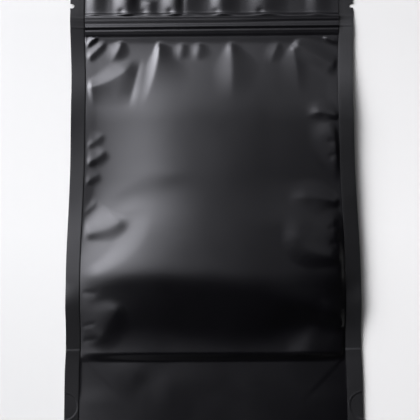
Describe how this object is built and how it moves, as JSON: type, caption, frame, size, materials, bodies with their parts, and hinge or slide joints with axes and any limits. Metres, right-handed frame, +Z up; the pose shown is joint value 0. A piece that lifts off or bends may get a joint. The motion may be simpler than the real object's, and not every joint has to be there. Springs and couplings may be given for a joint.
{
  "type": "zip-lock pouch",
  "caption": "Flat-lying black film pouch with welded sides, a press-to-close zipper, tear notches and a folded bottom gusset, lightly puffed with air.",
  "frame": {"origin": "centre of the footprint, on the table the pouch lies on", "axes": "+X across the pouch, +Y along it towards the mouth, +Z up out of its front"},
  "size_m": [0.16, 0.26, 0.0157],
  "materials": {
    "film": "satin matte black laminated film"
  },
  "bodies": {
    "root": {"pouch": "film"}
  },
  "joints": []
}
